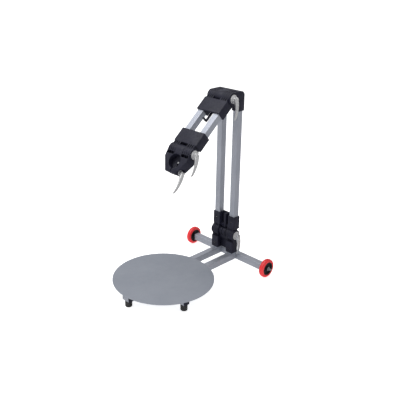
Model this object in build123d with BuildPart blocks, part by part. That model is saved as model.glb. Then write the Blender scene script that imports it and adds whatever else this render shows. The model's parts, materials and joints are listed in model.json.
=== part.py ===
from build123d import *
from math import cos, radians, sin
import os

# A wheeled, folding stand: a low base with a round platform carries a column of two tubes,
# and a two-tube arm with a clamping head. Each hinge is a stack of interleaved fins that a
# cam lever squeezes together. Millimetres, +Z up, +X along the wheel axle, the platform
# towards -Y. The origin is on the floor, under the middle of the bounding box.

# ---- driving dimensions ----
tube = 40.0
tube_wall = 2.5
tube_x = 60.0
wheel_radius = 57.5
wheel_width = 34.0
cross_half = 280.0
cross_behind = 26.0
disc_radius = 295.0
disc_thick = 3.0
disc_to_column = 532.0
beam_to_column = 592.0
beam_half = 253.0
front_tube_to_column = 792.0
front_tube_half = 23.0
foot_radius = 20.0
foot_x = 235.0
base_hinge_back = -7.0
base_hinge_up = 146.5
elbow_back = -72.0
elbow_up = 1017.0
arm_length = 403.0
arm_drop = 40.5
head_drop = 57.0
hinge_half = 86.0
fin_radius = 35.0
inner_fin_radius = 34.2
fin_count = 8
fin_gap = 0.4
pin_radius = 6.0
pin_clearance = 0.05
collar_start = 40.0
collar_length = 90.0
collar_half = 30.0
washer_radius = 26.0
washer_height = 5.0
cam_radius = 12.0
lever_length = 120.0
cam_pin_radius = 3.0

# ---- places worked out from them ----
half = tube / 2
front_edge = disc_to_column + disc_radius
rear_edge = cross_behind + wheel_radius
column_y = (front_edge - rear_edge) / 2
cross_y = column_y + cross_behind
beam_y = column_y - beam_to_column
front_tube_y = column_y - front_tube_to_column
disc_y = column_y - disc_to_column
tube_top = wheel_radius + half
tube_bottom = wheel_radius - half
foot_height = tube_bottom

X_AXIS = Vector(1, 0, 0)
base_axis = Vector(0, column_y + base_hinge_back, wheel_radius + base_hinge_up)
elbow_axis = Vector(0, column_y + elbow_back, wheel_radius + elbow_up)
arm_dir = Vector(0, -cos(radians(arm_drop)), -sin(radians(arm_drop)))
wrist_axis = elbow_axis + arm_dir * arm_length
head_dir = Vector(0, -cos(radians(head_drop)), -sin(radians(head_drop)))
UP = Vector(0, 0, 1)
DOWN = Vector(0, 0, -1)

os.makedirs("parts", exist_ok=True)


def save(part, label):
    """Labels a finished piece and writes it to parts/."""
    part.label = label
    export_step(part, f"parts/{label}.step")


def across(origin, direction, distance):
    """Plane square to a limb, at a distance along it: x is X, y is the limb's front, z runs along it."""
    return Plane(origin + direction * distance, x_dir=(1, 0, 0), z_dir=direction)


def side(origin, direction, x):
    """Plane of the limb's side view at one x: x along the limb, y its front, extrusion towards -X."""
    return Plane(origin + X_AXIS * x, x_dir=direction, z_dir=(-1, 0, 0))


# ---- tubes ----
def box_tube(plane, length):
    """Square tube that starts on a plane and runs along its z."""
    with BuildPart() as body:
        with BuildSketch(plane):
            RectangleRounded(tube, tube, 3)
            inner = tube - 2 * tube_wall
            RectangleRounded(inner, inner, 1, mode=Mode.SUBTRACT)
        extrude(amount=length)
    return body.part


def along_x(x, y):
    """Plane at one end of a tube that lies along +X at axle height."""
    return Plane((x, y, wheel_radius), x_dir=(0, 1, 0), z_dir=(1, 0, 0))


def along_y(x, y):
    """Plane at the rear end of a tube that runs towards -Y at axle height."""
    return Plane((x, y, wheel_radius), x_dir=(1, 0, 0), z_dir=(0, -1, 0))


def outward(x, y, sign):
    """Plane at axle height square to X: z points along +X or -X."""
    return Plane((x, y, wheel_radius), x_dir=(0, 1, 0), z_dir=(sign, 0, 0))


foot_screw_hole = 4.05
foot_places = {
    "left": (-foot_x, beam_y),
    "right": (foot_x, beam_y),
    "front": (0, front_tube_y),
}

save(box_tube(along_x(-cross_half, cross_y), 2 * cross_half), "cross_tube")

# four studs welded under the platform go down through the rails
disc_stud_radius = 3.0
stud_drop = 8.0
disc_nut_height = 5.0
disc_nut_flats = 10.0
disc_stud_pitch = 220.0
disc_stud_places = [(x, disc_y + y) for x in (-tube_x, tube_x) for y in (0, disc_stud_pitch)]

rail_length = (cross_y - half) - (beam_y + half)
for name, x in (("left", -tube_x), ("right", tube_x)):
    with BuildPart() as rail:
        add(box_tube(along_y(x, cross_y - half), rail_length))
        for stud_x, stud_y in disc_stud_places:
            if stud_x == x:
                with Locations((stud_x, stud_y, wheel_radius)):
                    Cylinder(disc_stud_radius + 0.1, 2 * tube, mode=Mode.SUBTRACT)
    save(rail.part, f"rail_{name}")

with BuildPart() as front_beam:
    add(box_tube(along_x(-beam_half, beam_y), 2 * beam_half))
    with Locations((-foot_x, beam_y, tube_bottom), (foot_x, beam_y, tube_bottom)):
        Cylinder(foot_screw_hole, 4 * tube_wall, mode=Mode.SUBTRACT)
save(front_beam.part, "front_beam")

spur_length = (beam_y - half) - (front_tube_y + half)
save(box_tube(along_y(0, beam_y - half), spur_length), "front_spur")

with BuildPart() as front_tube:
    add(box_tube(along_x(-front_tube_half, front_tube_y), 2 * front_tube_half))
    with Locations((0, front_tube_y, tube_bottom)):
        Cylinder(foot_screw_hole, 4 * tube_wall, mode=Mode.SUBTRACT)
save(front_tube.part, "front_foot_tube")


# ---- end plugs: a cap the size of the tube and a spigot inside it ----
plug_cap = 4.0
plug_spigot = 14.0
axle_radius = 4.0


def end_plugs(y, tube_half, spigot, bore):
    """Two plugs, one at each end of a tube along X; bore is the radius of a hole through them."""
    with BuildPart() as plugs:
        for sign in (-1, 1):
            with BuildSketch(outward(sign * tube_half, y, sign)):
                RectangleRounded(tube, tube, 3)
            extrude(amount=plug_cap)
            with BuildSketch(outward(sign * tube_half, y, -sign)):
                spigot_side = tube - 2 * tube_wall - 0.4
                RectangleRounded(spigot_side, spigot_side, 2)
            extrude(amount=spigot)
        if bore:
            with Locations(Location((0, y, wheel_radius), (0, 90, 0))):
                Cylinder(bore, 2 * (tube_half + plug_cap), mode=Mode.SUBTRACT)
    return plugs.part


save(end_plugs(cross_y, cross_half, 3 * plug_spigot, axle_radius), "cross_tube_plugs")

foot_plug_spigot = 7.0
with BuildPart() as foot_tube_plugs:
    add(end_plugs(beam_y, beam_half, foot_plug_spigot, 0))
    add(end_plugs(front_tube_y, front_tube_half, foot_plug_spigot, 0))
save(foot_tube_plugs.part, "foot_tube_plugs")

# ---- round platform ----
with BuildPart() as platform:
    with BuildSketch(Plane.XY.offset(tube_top)):
        with Locations((0, disc_y)):
            Circle(disc_radius)
    extrude(amount=disc_thick)
    chamfer(platform.edges().filter_by(GeomType.CIRCLE), 0.5)
save(platform.part, "platform_disc")

with BuildPart() as disc_studs:
    with BuildSketch(Plane.XY.offset(tube_bottom - stud_drop)):
        with Locations(*disc_stud_places):
            Circle(disc_stud_radius)
    extrude(amount=tube_top - tube_bottom + stud_drop)
save(disc_studs.part, "disc_studs")

with BuildPart() as disc_nuts:
    with BuildSketch(Plane.XY.offset(tube_bottom - disc_nut_height)):
        with Locations(*disc_stud_places):
            RegularPolygon(disc_nut_flats / 2, 6, major_radius=False)
            Circle(disc_stud_radius, mode=Mode.SUBTRACT)
    extrude(amount=disc_nut_height)
save(disc_nuts.part, "disc_nuts")

# ---- rubber feet, each with its screw from below ----
screw_seat = 12.0
screw_head_radius = 7.0
screw_head_height = 5.0
for name, (x, y) in foot_places.items():
    with BuildPart() as foot:
        with BuildSketch(Plane.XY):
            with Locations((x, y)):
                Circle(foot_radius)
        extrude(amount=foot_height)
        chamfer(foot.faces().sort_by(Axis.Z)[0].edges(), 3)
        with Locations((x, y, foot_height)):
            Cylinder(foot_screw_hole, 2 * foot_height, mode=Mode.SUBTRACT)
        with Locations((x, y, 0)):
            Cylinder(screw_head_radius + 1, 2 * screw_seat, mode=Mode.SUBTRACT)
    save(foot.part, f"foot_{name}")

with BuildPart() as foot_screws:
    for x, y in foot_places.values():
        with BuildSketch(Plane((x, y, screw_seat - screw_head_height))):
            Circle(screw_head_radius)
        extrude(amount=screw_head_height)
        with BuildSketch(Plane((x, y, screw_seat))):
            Circle(foot_screw_hole - 0.05)
        extrude(amount=foot_height - screw_seat + 9)
        with BuildSketch(Plane((x, y, screw_seat - screw_head_height))):
            RegularPolygon(4, 6)
        extrude(amount=3, mode=Mode.SUBTRACT)
save(foot_screws.part, "foot_screws")

# ---- wheels ----
hub_radius = 40.0
hub_face = cross_half + plug_cap + 7.0
wheel_x = hub_face + wheel_width / 2
bearing_radius = 11.0
bearing_width = 7.0
tyre_width = 30.0
rim_thick = 6.0
web_width = 10.0
sleeve_radius = 8.0
boss_radius = 16.0


def ring(x, start, end, inner, outer):
    """Ring about the axle line; start and end are along X from the wheel's centre at x."""
    with BuildPart() as body:
        with BuildSketch(outward(x + start, cross_y, 1)):
            Circle(outer)
            Circle(inner, mode=Mode.SUBTRACT)
        extrude(amount=end - start)
    return body.part


def make_hub(x):
    """Moulded hub: a rim, a thin web and a centre boss with a seat for a bearing at each side."""
    w = wheel_width / 2
    rim = tyre_width / 2
    with BuildPart() as hub:
        add(ring(x, -rim, rim, hub_radius - rim_thick, hub_radius))
        add(ring(x, -web_width / 2, web_width / 2, boss_radius - 4, hub_radius - rim_thick + 1))
        add(ring(x, -w, w, sleeve_radius, boss_radius))
        for sign in (-1, 1):
            with Locations(Location((x + sign * w, cross_y, wheel_radius), (0, 90, 0))):
                Cylinder(bearing_radius, 2 * bearing_width, mode=Mode.SUBTRACT)
            with Locations(Location((x + sign * web_width / 2, cross_y, wheel_radius), (0, 90, 0))):
                with PolarLocations(24, 5):
                    Cylinder(4, 3, mode=Mode.SUBTRACT)
    return hub.part


def make_tyre(x):
    """Solid tyre with a crowned tread and rounded shoulders."""
    w = tyre_width / 2
    with BuildPart() as tyre:
        with BuildSketch(Plane((x, cross_y, wheel_radius), x_dir=(1, 0, 0), z_dir=(0, -1, 0))):
            with BuildLine():
                inner = Line((w, hub_radius), (-w, hub_radius))
                left = Line(inner @ 1, (-w, wheel_radius - 9))
                crown = ThreePointArc(left @ 1, (0, wheel_radius), (w, wheel_radius - 9))
                Line(crown @ 1, inner @ 0)
            make_face()
        revolve(axis=Axis((x, cross_y, wheel_radius), (1, 0, 0)))
    return tyre.part


def make_bearings(x):
    """Two ball bearings as closed rings, one in each side of the hub."""
    w = wheel_width / 2
    with BuildPart() as bearings:
        for start in (-w, w - bearing_width):
            add(ring(x, start, start + bearing_width, axle_radius + pin_clearance, bearing_radius))
    return bearings.part


for name, sign in (("left", -1), ("right", 1)):
    save(make_hub(sign * wheel_x), f"wheel_hub_{name}")
    save(make_tyre(sign * wheel_x), f"tyre_{name}")
    save(make_bearings(sign * wheel_x), f"wheel_bearings_{name}")

# ---- axle studs: a collar between plug and bearing, a plain journal and a nut outside ----
collar_radius = 7.5
axle_gap = 0.3
nut_height = 8.0
nut_flats = 13.0
stud_overhang = 11.0
outer_face = hub_face + wheel_width
washer_thick = 2.0
washer_half = 8.0
stud_end = outer_face + axle_gap + washer_thick + nut_height + stud_overhang
for name, sign in (("left", -1), ("right", 1)):
    with BuildPart() as axle:
        collar_start_x = cross_half + plug_cap
        with BuildSketch(outward(sign * collar_start_x, cross_y, sign)):
            Circle(collar_radius)
        extrude(amount=hub_face - axle_gap - collar_start_x)
        stud_start = cross_half - 3 * plug_spigot + 6
        with BuildSketch(outward(sign * stud_start, cross_y, sign)):
            Circle(axle_radius)
        extrude(amount=stud_end - stud_start)
        chamfer(axle.edges().filter_by(GeomType.CIRCLE).sort_by(Axis.X)[-1 if sign > 0 else 0], 0.8)
    save(axle.part, f"axle_{name}")

with BuildPart() as axle_nuts:
    for sign in (-1, 1):
        start = outer_face + axle_gap
        with BuildSketch(outward(sign * start, cross_y, sign)):
            Circle(washer_half)
        extrude(amount=washer_thick)
        start = start + washer_thick
        with BuildSketch(outward(sign * start, cross_y, sign)):
            RegularPolygon(nut_flats / 2, 6, major_radius=False)
        extrude(amount=nut_height)
    with Locations(Location((0, cross_y, wheel_radius), (0, 90, 0))):
        Cylinder(axle_radius, 2 * stud_end + 2, mode=Mode.SUBTRACT)
save(axle_nuts.part, "axle_nuts")


# ---- hinge fins ----
def fin_spans(inner_edge, first):
    """(low, high) |x| spans of every second fin, counted from the outside; first is 0 or 1."""
    step = (hinge_half - inner_edge + fin_gap) / fin_count
    spans = []
    for index in range(first, fin_count, 2):
        high = hinge_half - index * step
        spans.append((high - step + fin_gap, high))
    return spans


def fin_stack(origin, direction, inner_edge, first, radius, web, reach, grow=0.0):
    """Fins on both sides: a disc on the hinge axis and a web along the limb out to its block.

    web is the (low, high) span of the web across the limb, in the side view's y.
    """
    with BuildPart() as fins:
        for low, high in fin_spans(inner_edge, first):
            for top in (high + grow, -low + grow):
                with BuildSketch(side(origin, direction, top)):
                    Circle(radius)
                    if reach:
                        with Locations((reach / 2, (web[0] + web[1]) / 2)):
                            Rectangle(reach, web[1] - web[0])
                extrude(amount=high - low + 2 * grow)
    return fins.part


def cylinder_x(origin, radius, low, high):
    """Cylinder along X through a point, between two x values."""
    with BuildPart() as body:
        with BuildSketch(side(origin, UP, high)):
            Circle(radius)
        extrude(amount=high - low)
    return body.part


web_half = 22.0
even_web = (-web_half, web_half)
web_reach = collar_start + 2
slot_radius = 38.0
base_inner = 35.0
arm_inner = 28.0
socket_half = 25.0
screw_radius = 2.5
screw_cap_radius = 5.0
screw_cap_height = 2.4
screw_length = 12.0
screw_socket_radius = 2.2
screw_socket_depth = 1.4


def pin_hole(origin):
    """What the hinge pin needs clear of it."""
    reach = hinge_half + washer_height + 1
    return cylinder_x(origin, pin_radius + pin_clearance, -reach, reach)


def screw_plane(origin, direction, distance, front, x):
    """Plane on a block's outer face, z out of the block; front is how far that face is from the axis."""
    base = across(origin, direction, distance)
    normal = base.y_dir * (1 if front > 0 else -1)
    point = base.origin + base.y_dir * front + X_AXIS * x
    return Plane(point, x_dir=(1, 0, 0), z_dir=normal)


def make_screws(planes):
    """Button screws whose heads end flush with the planes."""
    with BuildPart() as screws:
        for plane in planes:
            with BuildSketch(plane.offset(-screw_cap_height)):
                Circle(screw_cap_radius)
            extrude(amount=screw_cap_height)
            with BuildSketch(plane.offset(-screw_length)):
                Circle(screw_radius)
            extrude(amount=screw_length - screw_cap_height)
            with BuildSketch(plane.offset(-screw_socket_depth)):
                RegularPolygon(screw_socket_radius, 6)
            extrude(amount=screw_socket_depth, mode=Mode.SUBTRACT)
    return screws.part


def screw_cuts(planes):
    """The seats and holes for those screws."""
    with BuildPart() as cuts:
        for plane in planes:
            with BuildSketch(plane.offset(-screw_cap_height - 0.1)):
                Circle(screw_cap_radius + 0.3)
            extrude(amount=screw_cap_height + 1)
            with BuildSketch(plane.offset(-screw_length)):
                Circle(screw_radius + 0.02)
            extrude(amount=screw_length)
    return cuts.part


# ---- column foot block: two sockets on the base hinge, joined by a rear web ----
foot_block_top = 122.0
rod_cover = 30.0
rear_web = 14.0
rod_web = 34.0
apron = 4.0
apron_bottom = -10.0
rib_width = 16.0
rib_depth = 40.0
socket_floor = 52.0
column_offset = -base_hinge_back
foot_screw_planes = [
    screw_plane(base_axis, UP, 85, column_offset - socket_half, x) for x in (-tube_x, tube_x)
]
foot_fins = fin_stack(base_axis, UP, base_inner, 1, inner_fin_radius, even_web, web_reach)
with BuildPart() as column_foot:
    with BuildSketch(across(base_axis, UP, collar_start)):
        with Locations((-tube_x, column_offset), (tube_x, column_offset)):
            RectangleRounded(2 * socket_half + 2, 2 * socket_half, 3)
        with Locations((0, column_offset + socket_half - rear_web / 2)):
            Rectangle(2 * base_inner, rear_web)
    extrude(amount=foot_block_top - collar_start)
    # the rear web runs down behind the hinge rod, so that the channel is closed
    with BuildSketch(across(base_axis, UP, rod_cover)):
        with Locations((0, column_offset + socket_half - rod_web / 2)):
            Rectangle(2 * base_inner, rod_web)
    extrude(amount=collar_start + 12 - rod_cover)
    # and a thin apron hangs behind the barrel
    with BuildSketch(across(base_axis, UP, apron_bottom)):
        with Locations((0, column_offset + socket_half - apron / 2)):
            Rectangle(2 * base_inner, apron)
    extrude(amount=rod_cover + 1 - apron_bottom)
    # a rib stands in the middle of the channel
    with BuildSketch(across(base_axis, UP, rod_cover)):
        with Locations((0, column_offset + socket_half - rib_depth / 2)):
            Rectangle(rib_width, rib_depth)
    extrude(amount=foot_block_top - rod_cover)
    add(foot_fins)
    with BuildSketch(across(base_axis, UP, socket_floor)):
        with Locations((-tube_x, column_offset), (tube_x, column_offset)):
            RectangleRounded(tube, tube, 3)
    extrude(amount=foot_block_top, mode=Mode.SUBTRACT)
    add(pin_hole(base_axis), mode=Mode.SUBTRACT)
    add(screw_cuts(foot_screw_planes), mode=Mode.SUBTRACT)
save(column_foot.part, "column_foot_block")

# ---- base hinge block: two legs below the hinge that take stub tubes ----
leg_bottom = 115.5
leg_offset = 5.0
stub_reach = 45.0
stub_top = base_axis.Z - leg_bottom + stub_reach
leg_screw_planes = [
    screw_plane(base_axis, DOWN, 90, leg_offset + socket_half, x) for x in (-tube_x, tube_x)
]
base_barrel_radius = 23.0
barrel_ring_radius = 27.0
barrel_ring_width = 6.0
barrel_ring_ends = (-12.0, 18.0)
base_web_depth = 24.0
leg_fins = fin_stack(base_axis, DOWN, base_inner, 0, fin_radius, even_web, web_reach)
with BuildPart() as base_block:
    with BuildSketch(across(base_axis, DOWN, collar_start)):
        with Locations((-tube_x, leg_offset), (tube_x, leg_offset)):
            RectangleRounded(2 * socket_half + 2, 2 * socket_half, 3)
        with Locations((0, leg_offset - socket_half + 8)):
            Rectangle(2 * base_inner, 16)
    extrude(amount=leg_bottom - collar_start)
    add(leg_fins)
    add(cylinder_x(base_axis, base_barrel_radius, -base_inner + fin_gap, base_inner - fin_gap))
    for x in barrel_ring_ends:
        add(cylinder_x(base_axis, barrel_ring_radius, x - barrel_ring_width, x))
    with BuildSketch(side(base_axis, DOWN, base_inner - fin_gap)):
        with Locations((collar_start / 2, 0)):
            Rectangle(collar_start, base_web_depth)
        with Locations((collar_start + 5, -8)):
            Rectangle(10, base_web_depth)
    extrude(amount=2 * (base_inner - fin_gap))
    with BuildSketch(across(base_axis, DOWN, leg_bottom - stub_reach)):
        with Locations((-tube_x, leg_offset), (tube_x, leg_offset)):
            RectangleRounded(tube, tube, 3)
    extrude(amount=leg_bottom, mode=Mode.SUBTRACT)
    add(pin_hole(base_axis), mode=Mode.SUBTRACT)
    add(screw_cuts(leg_screw_planes), mode=Mode.SUBTRACT)
save(base_block.part, "base_hinge_block")

stub_y = base_axis.Y - leg_offset
with BuildPart() as stubs:
    for x in (-tube_x, tube_x):
        add(box_tube(Plane((x, stub_y, tube_top)), stub_top - tube_top))
    add(screw_cuts(leg_screw_planes), mode=Mode.SUBTRACT)
save(stubs.part, "base_stub_tubes")
save(make_screws(leg_screw_planes), "base_block_screws")

# ---- column head block: sockets on the column tubes and the elbow's barrel in front ----
head_bottom = -82.0
head_rear = 97.0
head_round = 26.0
socket_centre = -elbow_back
neck_low = -50.0
tube_stop = -22.0
window_width = 17.0
window_x = (28.0, 82.0)
window_depth = 20.0


def windows(origin, direction, along, face):
    """Two shallow openings beside the barrel, centred along the limb, sunk in the face at y = face."""
    with BuildPart() as cuts:
        for low, high in (window_x, (-window_x[1], -window_x[0])):
            with BuildSketch(side(origin, direction, high)):
                with Locations((along, face)):
                    Rectangle(window_width, 2 * window_depth)
            extrude(amount=high - low)
    return cuts.part


REAR = Vector(0, 1, 0)
head_screw_planes = [
    Plane((x, column_y - socket_half, elbow_axis.Z - 66), x_dir=(1, 0, 0), z_dir=(0, -1, 0))
    for x in (-tube_x, tube_x)
]
column_slots = fin_stack(elbow_axis, REAR, arm_inner, 1, slot_radius, even_web, 0, fin_gap)
with BuildPart() as column_head:
    # side view, with x towards the rear and y down, from the elbow axis
    with BuildSketch(side(elbow_axis, REAR, hinge_half)):
        with BuildLine():
            top = Line((0, -fin_radius), (head_rear - head_round, -fin_radius))
            corner = TangentArc(top @ 1, (head_rear, -fin_radius + head_round), tangent=(1, 0))
            rear = Line(corner @ 1, (head_rear, -head_bottom))
            bottom = Line(rear @ 1, (socket_centre - socket_half, -head_bottom))
            front = Line(bottom @ 1, (socket_centre - socket_half, -neck_low))
            neck = Line(front @ 1, (fin_radius * sin(radians(30)), fin_radius * cos(radians(30))))
            Line(neck @ 1, (0, 0))
            Line((0, 0), top @ 0)
        make_face()
        Circle(fin_radius)
    extrude(amount=2 * hinge_half)
    add(column_slots, mode=Mode.SUBTRACT)
    with BuildSketch(Plane((0, column_y, elbow_axis.Z + head_bottom))):
        with Locations((-tube_x, 0), (tube_x, 0)):
            RectangleRounded(tube, tube, 3)
    extrude(amount=tube_stop - head_bottom, mode=Mode.SUBTRACT)
    # the space between the two sockets
    with BuildSketch(Plane((0, column_y - 10, elbow_axis.Z + head_bottom))):
        Rectangle(2 * base_inner, 2 * socket_half - 4)
    extrude(amount=45, mode=Mode.SUBTRACT)
    add(windows(elbow_axis, REAR, 36, -fin_radius), mode=Mode.SUBTRACT)
    add(pin_hole(elbow_axis), mode=Mode.SUBTRACT)
    add(screw_cuts(head_screw_planes), mode=Mode.SUBTRACT)
save(column_head.part, "column_head_block")
save(make_screws(foot_screw_planes + head_screw_planes), "column_screws")

column_bottom = base_axis.Z + socket_floor
column_top = elbow_axis.Z + tube_stop
column_cuts = screw_cuts(foot_screw_planes + head_screw_planes)
for name, x in (("left", -tube_x), ("right", tube_x)):
    with BuildPart() as column_tube:
        add(box_tube(Plane((x, column_y, column_bottom)), column_top - column_bottom))
        add(column_cuts, mode=Mode.SUBTRACT)
    save(column_tube.part, f"column_tube_{name}")

# ---- arm: a collar block at each end of two tubes ----
collar_end = collar_start + collar_length
arm_socket = 50.0
plate = 9.0


def arm_block(origin, direction, first, screw_planes):
    """Collar around both arm tubes, open underneath between them, with every second hinge fin."""
    flip = 1 if direction.Z < 0 else -1
    # the webs are flush with the collar's upper face and stop short of its under side
    web = sorted((flip * collar_half, -flip * web_half))
    fins = fin_stack(origin, direction, arm_inner, first, inner_fin_radius, web, web_reach)
    cuts = screw_cuts(screw_planes)
    with BuildPart() as block:
        with BuildSketch(across(origin, direction, collar_start)):
            Rectangle(2 * hinge_half, 2 * collar_half)
        extrude(amount=collar_length)
        chamfer(block.edges().filter_by(Axis.X), 1.5)
        add(fins)
        with BuildSketch(across(origin, direction, arm_socket)):
            with Locations((-tube_x, 0), (tube_x, 0)):
                RectangleRounded(tube, tube, 3)
        extrude(amount=collar_end, mode=Mode.SUBTRACT)
        with BuildSketch(across(origin, direction, collar_start + 20)):
            with Locations((0, -flip * plate)):
                Rectangle(66, 2 * collar_half)
        extrude(amount=collar_end, mode=Mode.SUBTRACT)
        add(pin_hole(origin), mode=Mode.SUBTRACT)
        add(cuts, mode=Mode.SUBTRACT)
    return block.part


back_dir = arm_dir * -1
root_screw_planes = [screw_plane(elbow_axis, arm_dir, 90, -collar_half, x) for x in (-tube_x, tube_x)]
tip_screw_planes = [screw_plane(wrist_axis, back_dir, 90, collar_half, x) for x in (-tube_x, tube_x)]
save(arm_block(elbow_axis, arm_dir, 1, root_screw_planes), "arm_root_block")
save(arm_block(wrist_axis, back_dir, 1, tip_screw_planes), "arm_tip_block")
save(make_screws(root_screw_planes + tip_screw_planes), "arm_screws")

arm_cuts = screw_cuts(root_screw_planes + tip_screw_planes)
for name, x in (("left", -tube_x), ("right", tube_x)):
    start = across(elbow_axis, arm_dir, arm_socket)
    with BuildPart() as arm_tube:
        add(box_tube(start.shift_origin(start.origin + X_AXIS * x), arm_length - 2 * arm_socket))
        add(arm_cuts, mode=Mode.SUBTRACT)
    save(arm_tube.part, f"arm_tube_{name}")


# ---- hook: a flat bar from the root block, turned up at its end ----
hook_half = 7.0
hook_under = -12.0
hook_over = -4.0
hook_end = 181.0
hook_top = 26.0
hook_thick = 8.0
with BuildPart() as hook:
    with BuildSketch(side(elbow_axis, arm_dir, hook_half)):
        with BuildLine():
            Polyline(
                (collar_start + 20, hook_under),
                (hook_end, hook_under),
                (hook_end, hook_top),
                (hook_end - hook_thick, hook_top),
                (hook_end - hook_thick, hook_over),
                (collar_start + 20, hook_over),
                close=True,
            )
        make_face()
    extrude(amount=2 * hook_half)
    fillet(hook.edges().filter_by(Axis.X).sort_by(Axis.Z)[0], 5)
save(hook.part, "arm_hook")

# ---- head: a tapered block with a round clamping recess in its face ----
head_face = 35.0
head_back = -30.0
head_full = 56.0
head_end = 137.0
head_end_half = 38.0
recess_along = 69.0
recess_radius = 42.0
recess_floor = 0.0
split_width = 6.0
clamp_along = 119.0
clamp_washer_radius = 15.0
head_window_along = 27.5
face_plane = side(wrist_axis, head_dir, 0)
recess_plane = Plane(
    wrist_axis + head_dir * recess_along + face_plane.y_dir * recess_floor,
    x_dir=(1, 0, 0),
    z_dir=face_plane.y_dir,
)
recess_screw_plane = recess_plane.offset(-0.5)
head_slots = fin_stack(wrist_axis, head_dir, arm_inner, 1, slot_radius, even_web, 0, fin_gap)
clamp_axis = wrist_axis + head_dir * clamp_along
clamp_face = hinge_half - (hinge_half - head_end_half) * (clamp_along - head_full) / (head_end - head_full)
clamp_seat = clamp_face - 8.0
clamp_seat_radius = 22.0
with BuildPart() as head_block:
    with BuildSketch(side(wrist_axis, head_dir, hinge_half)):
        Circle(fin_radius)
        with Locations((head_end / 2, (head_face + head_back) / 2)):
            Rectangle(head_end, head_face - head_back)
    extrude(amount=2 * hinge_half)
    # corners taken off in the view onto the face
    with BuildSketch(Plane(wrist_axis, x_dir=(1, 0, 0), z_dir=face_plane.y_dir)):
        with BuildLine():
            Polyline(
                (hinge_half, fin_radius),
                (hinge_half, -head_full),
                (head_end_half, -head_end),
                (-head_end_half, -head_end),
                (-hinge_half, -head_full),
                (-hinge_half, fin_radius),
                close=True,
            )
        make_face()
    extrude(amount=hinge_half, both=True, mode=Mode.INTERSECT)
    add(head_slots, mode=Mode.SUBTRACT)
    with BuildSketch(recess_plane):
        Circle(recess_radius)
    extrude(amount=hinge_half, mode=Mode.SUBTRACT)
    # the split from the recess to the end, so that the clamp rod can close it
    with BuildSketch(side(wrist_axis, head_dir, split_width / 2)):
        with Locations((head_end, 0)):
            Rectangle(2 * (head_end - recess_along), 2 * hinge_half)
    extrude(amount=split_width, mode=Mode.SUBTRACT)
    add(windows(wrist_axis, head_dir, head_window_along, head_face), mode=Mode.SUBTRACT)
    add(pin_hole(wrist_axis), mode=Mode.SUBTRACT)
    # flat seats for the clamp's washers, and the hole for its rod
    for low, high in ((clamp_seat, hinge_half), (-hinge_half, -clamp_seat)):
        add(cylinder_x(clamp_axis, clamp_seat_radius, low, high), mode=Mode.SUBTRACT)
    add(pin_hole(clamp_axis), mode=Mode.SUBTRACT)
    add(screw_cuts([recess_screw_plane]), mode=Mode.SUBTRACT)
save(head_block.part, "head_block")

save(make_screws([recess_screw_plane]), "recess_screw")

# ---- clamps: rod, washers, nut, cam lever and its pin ----
hinge_nut_flats = 19.0
hinge_nut_height = 10.0
rod_overhang = 4.0
rod_past_pin = 6.5
cam_gap = 0.3
slot_half = 6.4
lever_half = 12.5
lever_tip_half = 7.0
hollow_radius = 9.6
slot_reach = 20.0
lever_bow = 16.0
lever_thick = 9.5
lever_shoulder = 25.0


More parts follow.
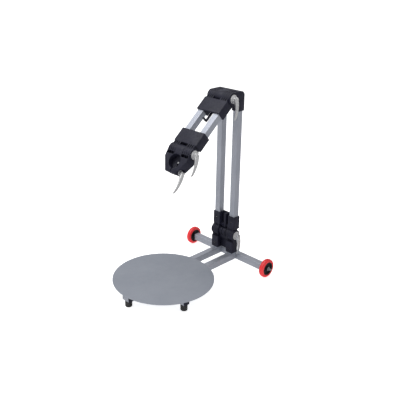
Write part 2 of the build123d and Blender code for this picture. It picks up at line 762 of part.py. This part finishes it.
def make_clamp(name, axis, face, direction, washer):
    """One clamp across a hinge. The lever points along direction, past the face on the +X side."""
    pivot_x = face + washer_height + cam_radius + cam_gap
    pivot = axis + X_AXIS * pivot_x
    turn = X_AXIS.cross(direction)
    pin_plane = Plane(pivot, x_dir=(1, 0, 0), z_dir=turn)
    nut_face = -(face + washer_height)
    nut_end = nut_face - hinge_nut_height

    with BuildPart() as rod:
        add(cylinder_x(axis, pin_radius, nut_end - rod_overhang, pivot_x + rod_past_pin))
        chamfer(rod.edges().filter_by(GeomType.CIRCLE), 0.8)
        with BuildSketch(pin_plane):
            Circle(cam_pin_radius + pin_clearance)
        extrude(amount=2 * pin_radius, both=True, mode=Mode.SUBTRACT)
    save(rod.part, f"{name}_rod")

    with BuildPart() as washers:
        add(cylinder_x(axis, washer, face, face + washer_height))
        add(cylinder_x(axis, washer, nut_face, -face))
        rims = washers.edges().filter_by(GeomType.CIRCLE)
        chamfer(rims, 0.8)
        add(pin_hole(axis), mode=Mode.SUBTRACT)
    save(washers.part, f"{name}_washers")

    with BuildPart() as nut:
        with BuildSketch(side(axis, UP, nut_face)):
            RegularPolygon(hinge_nut_flats / 2, 6, major_radius=False)
            Circle(pin_radius, mode=Mode.SUBTRACT)
        extrude(amount=hinge_nut_height)
    save(nut.part, f"{name}_nut")

    with BuildPart() as lever:
        # the blade, bowed outwards, in the plane of the rod and the lever
        with BuildSketch(pin_plane.offset(-lever_half)):
            with BuildLine():
                bow = (lever_bow, lever_length * 0.4)
                hollow = (lever_bow - lever_thick, lever_length * 0.4)
                outer = ThreePointArc((cam_radius - 1, 4), bow, (1.5, lever_length))
                tip = Line(outer @ 1, (-2, lever_length - 1))
                inner = ThreePointArc(tip @ 1, hollow, (-4, cam_radius - 1))
                Line(inner @ 1, outer @ 0)
            make_face()
        extrude(amount=2 * lever_half)
        # narrower towards the tip
        with BuildSketch(Plane(pivot, x_dir=turn, z_dir=(1, 0, 0))):
            # this plane's y runs against the lever, so the outline is drawn below its x axis
            with BuildLine():
                Polyline(
                    (-lever_half, 0),
                    (lever_half, 0),
                    (lever_half, -lever_shoulder),
                    (lever_tip_half, 6 - lever_length),
                    (lever_tip_half - 4, -lever_length - 1),
                    (4 - lever_tip_half, -lever_length - 1),
                    (-lever_tip_half, 6 - lever_length),
                    (-lever_half, -lever_shoulder),
                    close=True,
                )
            make_face()
        extrude(amount=2 * lever_bow, both=True, mode=Mode.INTERSECT)
        # the round cam, hollow for the end of the rod through the whole swing
        with BuildSketch(pin_plane.offset(-lever_half)):
            Circle(cam_radius)
        extrude(amount=2 * lever_half)
        with BuildSketch(pin_plane.offset(-slot_half)):
            Circle(hollow_radius)
            # open towards the rod, and on as far as the lever swings
            swung = Vector(slot_half, 0).rotate(Axis.Z, 30)
            slot_run = Vector(0, -1.2 * slot_reach).rotate(Axis.Z, 30)
            with BuildLine():
                Polyline(
                    (-slot_reach, slot_half),
                    (0, slot_half),
                    swung,
                    swung + slot_run,
                    (swung.X + slot_run.X, -slot_reach),
                    (-slot_reach, -slot_reach),
                    close=True,
                )
            make_face()
        extrude(amount=2 * slot_half, mode=Mode.SUBTRACT)
        with BuildSketch(pin_plane):
            Circle(cam_pin_radius)
        extrude(amount=2 * lever_half, both=True, mode=Mode.SUBTRACT)
    save(lever.part, f"{name}_lever")

    with BuildPart() as pin:
        with BuildSketch(pin_plane.offset(-lever_half)):
            Circle(cam_pin_radius)
        extrude(amount=2 * lever_half)
    save(pin.part, f"{name}_lever_pin")


wrist_lever_lean = 18.0
wrist_lever_dir = Vector(0, -sin(radians(wrist_lever_lean)), -cos(radians(wrist_lever_lean)))
make_clamp("base_hinge", base_axis, hinge_half, DOWN, washer_radius)
make_clamp("elbow", elbow_axis, hinge_half, DOWN, washer_radius)
make_clamp("wrist", wrist_axis, hinge_half, wrist_lever_dir, washer_radius)
make_clamp("head_clamp", clamp_axis, clamp_seat, head_dir, clamp_washer_radius)
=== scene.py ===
"""Looks for the wheeled folding stand arm: materials, rounded mouldings, wheels, light and camera."""

import json
import math

import bmesh
import bpy
from mathutils import Matrix, Vector


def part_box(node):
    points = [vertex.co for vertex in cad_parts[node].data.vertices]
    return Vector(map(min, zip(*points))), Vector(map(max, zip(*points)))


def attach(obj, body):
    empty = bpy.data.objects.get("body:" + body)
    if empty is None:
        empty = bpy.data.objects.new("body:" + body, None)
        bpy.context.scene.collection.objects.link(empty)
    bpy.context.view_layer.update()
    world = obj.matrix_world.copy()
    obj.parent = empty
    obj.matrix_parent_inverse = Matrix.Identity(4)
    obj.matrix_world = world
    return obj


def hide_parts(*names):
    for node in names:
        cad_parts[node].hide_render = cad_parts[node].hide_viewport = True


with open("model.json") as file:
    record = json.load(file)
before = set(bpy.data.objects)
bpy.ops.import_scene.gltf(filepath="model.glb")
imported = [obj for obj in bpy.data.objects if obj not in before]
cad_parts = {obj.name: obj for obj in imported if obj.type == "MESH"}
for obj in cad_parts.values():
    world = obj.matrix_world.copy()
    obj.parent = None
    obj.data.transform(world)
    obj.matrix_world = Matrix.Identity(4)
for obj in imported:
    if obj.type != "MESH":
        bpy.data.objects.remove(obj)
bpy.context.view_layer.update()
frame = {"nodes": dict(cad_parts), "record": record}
scene = bpy.context.scene
MM = 0.001


# ---- node helpers ----
class Look:
    """A material under construction: a Principled shader and the few nodes that feed it."""

    def __init__(self, name, color, rough, metallic=0.0, specular=0.5, coat=0.0):
        self.material = bpy.data.materials.new(name)
        self.material.use_nodes = True
        self.tree = self.material.node_tree
        self.shader = self.tree.nodes["Principled BSDF"]
        self.shader.inputs["Base Color"].default_value = (*color, 1)
        self.shader.inputs["Roughness"].default_value = rough
        self.shader.inputs["Metallic"].default_value = metallic
        self.shader.inputs["Specular IOR Level"].default_value = specular
        self.shader.inputs["Coat Weight"].default_value = coat
        self.place = self.add("ShaderNodeTexCoord").outputs["Object"]
        self.normal = None

    def add(self, kind, **values):
        node = self.tree.nodes.new(kind)
        for key, value in values.items():
            setattr(node, key, value)
        return node

    def link(self, source, target):
        self.tree.links.new(source, target)

    def stretched(self, scale, tilt=0.0):
        """Coordinates turned about X and scaled per axis, so that grain runs along one direction."""
        mapping = self.add("ShaderNodeMapping")
        turned = self.add("ShaderNodeVectorRotate", rotation_type="X_AXIS")
        turned.inputs["Angle"].default_value = tilt
        mapping.inputs["Scale"].default_value = scale
        self.link(self.place, turned.inputs["Vector"])
        self.link(turned.outputs["Vector"], mapping.inputs["Vector"])
        return mapping.outputs["Vector"]

    def noise(self, scale, detail=4.0, rough=0.55, vector=None):
        node = self.add("ShaderNodeTexNoise")
        node.inputs["Scale"].default_value = scale
        node.inputs["Detail"].default_value = detail
        node.inputs["Roughness"].default_value = rough
        self.link(vector or self.place, node.inputs["Vector"])
        return node.outputs["Fac"]

    def cells(self, scale):
        node = self.add("ShaderNodeTexVoronoi")
        node.inputs["Scale"].default_value = scale
        self.link(self.place, node.inputs["Vector"])
        return node.outputs["Distance"]

    def spread(self, value, low, high, start=0.35, end=0.65):
        node = self.add("ShaderNodeMapRange")
        node.inputs["From Min"].default_value = start
        node.inputs["From Max"].default_value = end
        node.inputs["To Min"].default_value = low
        node.inputs["To Max"].default_value = high
        self.link(value, node.inputs["Value"])
        return node.outputs["Result"]

    def times(self, first, second):
        node = self.add("ShaderNodeMath", operation="MULTIPLY")
        self.link(first, node.inputs[0])
        self.link(second, node.inputs[1])
        return node.outputs["Value"]

    def mix(self, value, high):
        """A colour mix that reaches high at value 1: its socket for the colour at 0, and its result."""
        node = self.add("ShaderNodeMix", data_type="RGBA")
        self.link(value, node.inputs[0])
        sockets = [s for s in node.inputs if s.type == "RGBA"]
        sockets[1].default_value = (*high, 1)
        return sockets[0], [s for s in node.outputs if s.type == "RGBA"][0]

    def colors(self, value, low, high):
        """From one plain colour to another."""
        start, result = self.mix(value, high)
        start.default_value = (*low, 1)
        return result

    def blend_color(self, value, under, high):
        """From the colours made so far to a plain one."""
        start, result = self.mix(value, high)
        self.link(under, start)
        return result

    def paint(self, color):
        self.link(color, self.shader.inputs["Base Color"])

    def roughen(self, value):
        self.link(value, self.shader.inputs["Roughness"])

    def bump(self, height, strength, distance):
        node = self.add("ShaderNodeBump")
        node.inputs["Strength"].default_value = strength
        node.inputs["Distance"].default_value = distance
        self.link(height, node.inputs["Height"])
        if self.normal:
            self.link(self.normal, node.inputs["Normal"])
        self.normal = node.outputs["Normal"]
        self.link(self.normal, self.shader.inputs["Normal"])

    def edges(self, radius, start=0.02, end=0.25):
        """0 on faces, 1 on convex and concave edges, broken up by noise."""
        bevel = self.add("ShaderNodeBevel", samples=4)
        bevel.inputs["Radius"].default_value = radius
        geometry = self.add("ShaderNodeNewGeometry")
        dot = self.add("ShaderNodeVectorMath", operation="DOT_PRODUCT")
        self.link(bevel.outputs["Normal"], dot.inputs[0])
        self.link(geometry.outputs["Normal"], dot.inputs[1])
        mask = self.spread(dot.outputs["Value"], 1.0, 0.0, 1 - end, 1 - start)
        broken = self.spread(self.noise(160, 5), 0.0, 1.0, 0.42, 0.62)
        return self.times(mask, broken)


# ---- materials, one function each ----
def satin_tube(name, scale, tilt=0.0):
    """Satin anodised tube: fine die lines along its length, faint clouds, dulled spots."""
    look = Look(name, (0.36, 0.37, 0.40), 0.42, metallic=0.6)
    lines = look.noise(1.0, 3, 0.6, look.stretched(scale, tilt))
    clouds = look.noise(9, 3)
    tone = look.colors(look.spread(clouds, 0, 1), (0.350, 0.372, 0.430), (0.392, 0.412, 0.470))
    tone = look.blend_color(look.spread(lines, 0, 0.35, 0.45, 0.7), tone, (0.47, 0.48, 0.51))
    look.paint(tone)
    look.roughen(look.spread(lines, 0.36, 0.48))
    look.bump(lines, 0.12, 0.0004)
    look.bump(look.noise(60, 3), 0.05, 0.0006)
    return look.material


def platform_grey():
    """Silver-grey satin coat over a flat plate: fine orange peel, faint scuffs."""
    look = Look("platform_coat", (0.27, 0.29, 0.32), 0.45, metallic=0.25)
    clouds = look.noise(5, 4)
    tone = look.colors(look.spread(clouds, 0, 1), (0.250, 0.270, 0.315), (0.275, 0.295, 0.340))
    scuffs = look.noise(1.0, 2, 0.5, look.stretched((420, 9, 60)))
    tone = look.blend_color(look.spread(scuffs, 0, 0.25, 0.66, 0.78), tone, (0.33, 0.35, 0.38))
    look.paint(tone)
    look.roughen(look.spread(look.noise(30, 5), 0.40, 0.52))
    look.bump(look.noise(700, 2), 0.08, 0.0003)
    look.bump(look.noise(14, 2), 0.03, 0.001)
    return look.material


def black_moulding(name="black_moulding", color=(0.0088, 0.0091, 0.0195), rough=0.48, grain=2600):
    """Moulded black plastic: spark grain, flow clouds and edges rubbed a little paler."""
    look = Look(name, color, rough, specular=0.26)
    lift = tuple(c * 1.35 + 0.002 for c in color)
    tone = look.colors(look.spread(look.noise(22, 4), 0, 1), color, lift)
    worn = look.edges(0.0012)
    tone = look.blend_color(worn, tone, (0.035, 0.035, 0.044))
    look.paint(tone)
    look.roughen(look.spread(look.noise(90, 5), rough - 0.06, rough + 0.10))
    look.bump(look.cells(grain), 0.15, 0.0001)
    look.bump(look.noise(40, 2), 0.04, 0.0005)
    return look.material


def red_tyre():
    """Cast polyurethane: saturated red, satin, a dusty darker tread."""
    look = Look("red_polyurethane", (0.72, 0.018, 0.022), 0.34, specular=0.5, coat=0.15)
    clouds = look.spread(look.noise(35, 4), 0, 1)
    tone = look.colors(clouds, (0.66, 0.014, 0.020), (0.78, 0.024, 0.030))
    dust = look.spread(look.noise(240, 5), 0, 0.22, 0.58, 0.74)
    look.paint(look.blend_color(dust, tone, (0.50, 0.10, 0.09)))
    look.roughen(look.spread(look.noise(120, 4), 0.28, 0.44))
    look.bump(look.noise(500, 3), 0.10, 0.0002)
    return look.material


def black_rubber():
    """Matt rubber with a fine bloom."""
    look = Look("black_rubber", (0.018, 0.018, 0.019), 0.62, specular=0.4)
    clouds = look.spread(look.noise(60, 5), 0, 1)
    tone = look.colors(clouds, (0.014, 0.014, 0.015), (0.032, 0.032, 0.033))
    look.paint(look.blend_color(look.edges(0.0015), tone, (0.07, 0.07, 0.07)))
    look.roughen(look.spread(look.noise(200, 4), 0.55, 0.75))
    look.bump(look.noise(900, 3), 0.2, 0.0003)
    return look.material


def plated(name, color, rough, grain):
    """Plated metal: fine grain, soft clouds in the gloss, brighter rubbed edges."""
    look = Look(name, color, rough, metallic=0.95)
    dull = tuple(c * 0.86 for c in color)
    tone = look.colors(look.spread(look.noise(70, 5), 0, 1), dull, color)
    look.paint(look.blend_color(look.edges(0.0008), tone, (0.93, 0.93, 0.93)))
    look.roughen(look.spread(look.noise(160, 5), rough - 0.06, rough + 0.10))
    look.bump(look.noise(grain, 3), 0.12, 0.0002)
    return look.material


ARM_TILT = math.radians(40.5)
looks = {
    "platform_grey": platform_grey(),
    "black_plastic": black_moulding(),
    "hub_plastic": black_moulding("hub_moulding", (0.010, 0.010, 0.012), 0.40, 1800),
    "red_tyre": red_tyre(),
    "black_rubber": black_rubber(),
    "lever_metal": plated("bright_plating", (0.93, 0.93, 0.94), 0.30, 500),
    "dark_screw": plated("black_oxide", (0.06, 0.06, 0.065), 0.40, 900),
    "steel": plated("zinc_plating", (0.66, 0.67, 0.69), 0.34, 900),
}
along = {
    "x": satin_tube("satin_tube_x", (14, 900, 900)),
    "y": satin_tube("satin_tube_y", (900, 14, 900)),
    "z": satin_tube("satin_tube_z", (900, 900, 14)),
    "arm": satin_tube("satin_tube_arm", (900, 14, 900), -ARM_TILT),
}
tube_grain = {
    "cross_tube": "x",
    "front_beam": "x",
    "front_foot_tube": "x",
    "rail_left": "y",
    "rail_right": "y",
    "front_spur": "y",
    "arm_tube_left": "arm",
    "arm_tube_right": "arm",
}
slot_of = {part["node"]: part["material_slot"] for part in frame["record"]["subparts"]}
bodies = frame["record"]["behaviour"]["bodies"]
body_of = {node: body for body, nodes in bodies.items() for node in nodes}


def look_for(node):
    if slot_of[node] == "satin_tube":
        return along[tube_grain.get(node, "z")]
    return looks[slot_of[node]]


for node, thing in frame["nodes"].items():
    for place in thing.material_slots:
        place.material = look_for(node)


# ---- meshes ----
weld = 2e-6
flat_within = math.radians(0.4)
edge_from = math.radians(30)
cast_edge = 0.9 * MM
hub_edge = 0.7 * MM
soft_edge = 1.2 * MM


def finish_piece(piece, node, smooth_angle=30):
    """Gives a new piece its node's material, body and slot, and puts it in the node's place."""
    piece.data.materials.clear()
    piece.data.materials.append(look_for(node))
    for polygon in piece.data.polygons:
        polygon.use_smooth = True
        polygon.material_index = 0
    piece.data.set_sharp_from_angle(angle=math.radians(smooth_angle))
    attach(piece, body_of[node])
    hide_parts(node)


def rounded(node, width, segments=2):
    """The node's own shape with its sharp edges rounded, as a moulding or a casting has them."""
    source = frame["nodes"][node]
    mesh = source.data.copy()
    work = bmesh.new()
    work.from_mesh(mesh)
    bmesh.ops.remove_doubles(work, verts=work.verts, dist=weld)
    bmesh.ops.dissolve_limit(
        work, angle_limit=flat_within, verts=work.verts, edges=work.edges, delimit=set()
    )
    work.to_mesh(mesh)
    work.free()
    mesh.name = f"{node}_round"
    piece = bpy.data.objects.new(f"{node}_round", mesh)
    scene.collection.objects.link(piece)
    bevel = piece.modifiers.new("round", "BEVEL")
    bevel.width = width
    bevel.segments = segments
    bevel.limit_method = "ANGLE"
    bevel.angle_limit = edge_from
    bevel.use_clamp_overlap = False
    graph = bpy.context.evaluated_depsgraph_get()
    made = bpy.data.meshes.new_from_object(piece.evaluated_get(graph))
    piece.modifiers.clear()
    piece.data = made
    finish_piece(piece, node)


def lathe(name, centre, profile, turns=96):
    """Closed ring around a line along X through centre, from (x, radius) points in metres."""
    mesh = bpy.data.meshes.new(name)
    work = bmesh.new()
    rings = []
    for step in range(turns):
        angle = 2 * math.pi * step / turns
        c = math.cos(angle)
        s = math.sin(angle)
        rings.append([work.verts.new(centre + Vector((x, r * c, r * s))) for x, r in profile])
    count = len(profile)
    for step in range(turns):
        here = rings[step]
        there = rings[(step + 1) % turns]
        for index in range(count):
            after = (index + 1) % count
            work.faces.new((here[index], here[after], there[after], there[index]))
    bmesh.ops.recalc_face_normals(work, faces=work.faces)
    work.to_mesh(mesh)
    work.free()
    piece = bpy.data.objects.new(name, mesh)
    scene.collection.objects.link(piece)
    return piece


def arc(x, r, radius, start, end, steps=6):
    """Points (x, r) on an arc, angles in degrees from +x towards +r."""
    points = []
    for step in range(steps + 1):
        angle = math.radians(start + (end - start) * step / steps)
        points.append((x + radius * math.cos(angle), r + radius * math.sin(angle)))
    return points


def wheel(side):
    """Tyre with full round shoulders and a moulding line, its bore sized to the hub."""
    low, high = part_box(f"tyre_{side}")
    centre = (low + high) / 2
    half = (high.x - low.x) / 2
    outer = (high.z - low.z) / 2
    hub_low, hub_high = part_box(f"wheel_hub_{side}")
    seat = (hub_high.z - hub_low.z) / 2
    lip = 2 * MM
    shoulder = 10 * MM
    tread_rise = 0.6 * MM
    line_half = 1.2 * MM
    line_drop = 0.1 * MM
    tread_angle = 84
    crown = half - shoulder
    shoulder_line = outer - shoulder - tread_rise
    profile = [(-half + lip, seat), (-half, seat + lip)]
    profile += arc(-crown, shoulder_line, shoulder, 180, 180 - tread_angle)
    profile += [(-line_half, outer - line_drop), (0, outer), (line_half, outer - line_drop)]
    profile += arc(crown, shoulder_line, shoulder, tread_angle, 0)
    profile += [(half, seat + lip), (half - lip, seat)]
    tyre = lathe(f"tyre_{side}_round", centre, profile)
    finish_piece(tyre, f"tyre_{side}", smooth_angle=50)


for side in ("left", "right"):
    wheel(side)
    rounded(f"wheel_hub_{side}", hub_edge)
    rounded(f"foot_{side}", soft_edge, 3)
rounded("foot_front", soft_edge, 3)

# the base hinge block keeps its CAD edges: a bevel spikes where its fins' webs meet the legs;
# on head_block and column_foot_block it leaves a few faces off the CAD surface
blocks = ("column_head_block", "head_block", "arm_root_block", "arm_tip_block", "column_foot_block")
for node in (*blocks, "arm_hook"):
    rounded(node, cast_edge)
for node in ("base_hinge_lever", "elbow_lever", "wrist_lever", "head_clamp_lever"):
    rounded(node, soft_edge, 3)

# ---- floor, light, camera ----
white = (1, 1, 1, 1)
floor_mesh = bpy.data.meshes.new("floor")
reach = 60
corners = [(-reach, -reach, 0), (reach, -reach, 0), (reach, reach, 0), (-reach, reach, 0)]
floor_mesh.from_pydata(corners, [], [(0, 1, 2, 3)])
floor = bpy.data.objects.new("floor", floor_mesh)
scene.collection.objects.link(floor)
floor_look = Look("pale_floor", (0.93, 0.93, 0.93), 0.7, specular=0.2)
patches = floor_look.noise(0.6, 2)
floor_look.paint(floor_look.colors(patches, (0.925, 0.925, 0.93), (0.945, 0.945, 0.945)))
floor_look.shader.inputs["Emission Color"].default_value = white
floor_look.shader.inputs["Emission Strength"].default_value = 0.75
floor.data.materials.append(floor_look.material)
floor.visible_glossy = False

world = bpy.data.worlds.new("studio")
world.use_nodes = True
sky = world.node_tree.nodes["Background"]
sky.inputs["Color"].default_value = white
# brighter from the upper left and front, darker from the right
bright_side = Vector((-0.75, -0.35, 0.55))
sky_low = 0.38
sky_high = 0.64
around = world.node_tree.nodes.new("ShaderNodeTexCoord")
facing = world.node_tree.nodes.new("ShaderNodeVectorMath")
facing.operation = "DOT_PRODUCT"
facing.inputs[1].default_value = bright_side.normalized()
level = world.node_tree.nodes.new("ShaderNodeMapRange")
level.inputs["From Min"].default_value = -1
level.inputs["To Min"].default_value = sky_low
level.inputs["To Max"].default_value = sky_high
world.node_tree.links.new(around.outputs["Generated"], facing.inputs[0])
world.node_tree.links.new(facing.outputs["Value"], level.inputs["Value"])
world.node_tree.links.new(level.outputs["Result"], sky.inputs["Strength"])
scene.world = world
scene.view_settings.view_transform = "Standard"


middle = Vector((0, 0, 0.5))


def softbox(name, place, size, watts):
    """Square area light aimed at the middle of the object."""
    light = bpy.data.lights.new(name, "AREA")
    light.energy = watts
    light.size = size
    lamp = bpy.data.objects.new(name, light)
    lamp.location = place
    aim = middle - Vector(place)
    lamp.rotation_euler = aim.to_track_quat("-Z", "Y").to_euler()
    scene.collection.objects.link(lamp)


softbox("top", (-0.6, -0.2, 4.2), 3.0, 70)
softbox("key", (-1.2, -2.2, 4.0), 2.0, 46)
softbox("side", (-2.6, -0.65, 3.3), 1.8, 5)

camera_place = (2.329, -2.2656, 1.8801)
azimuth = math.radians(48.128)
elevation = math.radians(19.346)
roll = math.radians(-0.308)
back = Vector((
    math.sin(azimuth) * math.cos(elevation),
    -math.cos(azimuth) * math.cos(elevation),
    math.sin(elevation),
))
right = Vector((math.cos(azimuth), math.sin(azimuth), 0))
up = back.cross(right)
right, up = (
    right * math.cos(roll) + up * math.sin(roll),
    up * math.cos(roll) - right * math.sin(roll),
)
camera_data = bpy.data.cameras.new("camera")
camera_data.lens = 55.25
camera_data.sensor_width = 36
camera_data.shift_x = 0.099
camera_data.shift_y = -0.091
camera_data.clip_end = 200
camera = bpy.data.objects.new("camera", camera_data)
turned = Matrix((right, up, back)).transposed().to_4x4()
camera.matrix_world = Matrix.Translation(camera_place) @ turned
scene.collection.objects.link(camera)
scene.camera = camera
